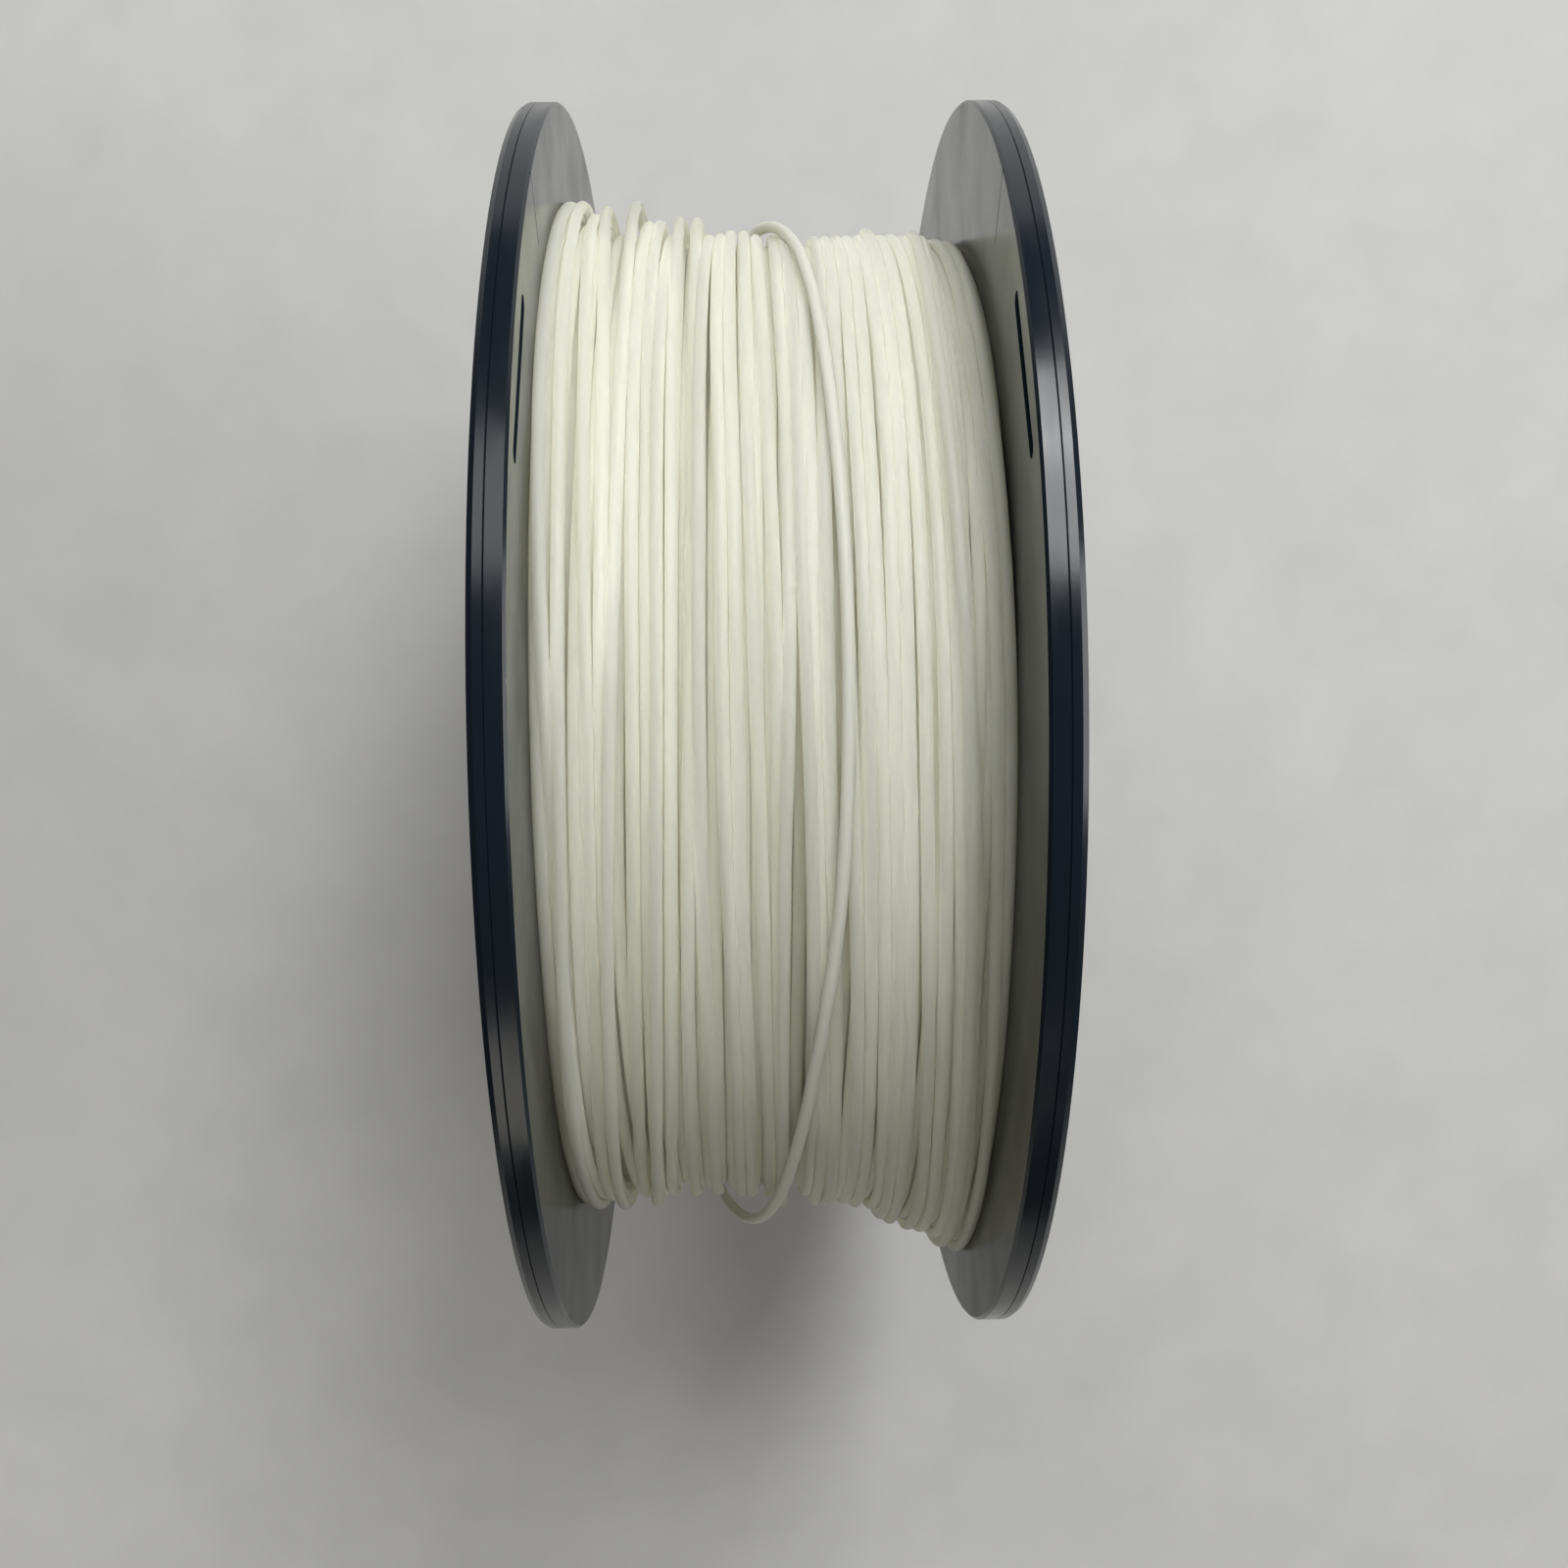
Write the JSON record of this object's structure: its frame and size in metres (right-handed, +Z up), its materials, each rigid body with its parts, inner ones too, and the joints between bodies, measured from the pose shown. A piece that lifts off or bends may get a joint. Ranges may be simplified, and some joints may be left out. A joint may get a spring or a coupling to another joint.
{
  "type": "filament spool",
  "caption": "Spool of 3D printing filament: snap-together flanged hub with a plain bore, full of a wound plastic strand with a loose crossing turn.",
  "frame": {"origin": "centre of the hub bore, halfway between the two flanges", "axes": "+X along the spool's axis towards the half that has the label, +Z up with the spool standing on its rims, +Y towards the back; the tie slots are between +Z and +Y"},
  "size_m": [0.071, 0.2, 0.2],
  "materials": {
    "spool_plastic": "gloss",
    "filament": "satin",
    "label": "satin"
  },
  "bodies": {
    "root": {"left_spool_half": "spool_plastic", "right_spool_half": "spool_plastic", "filament_winding": "filament", "slack_filament_turn": "filament", "side_label": "label"}
  },
  "joints": []
}
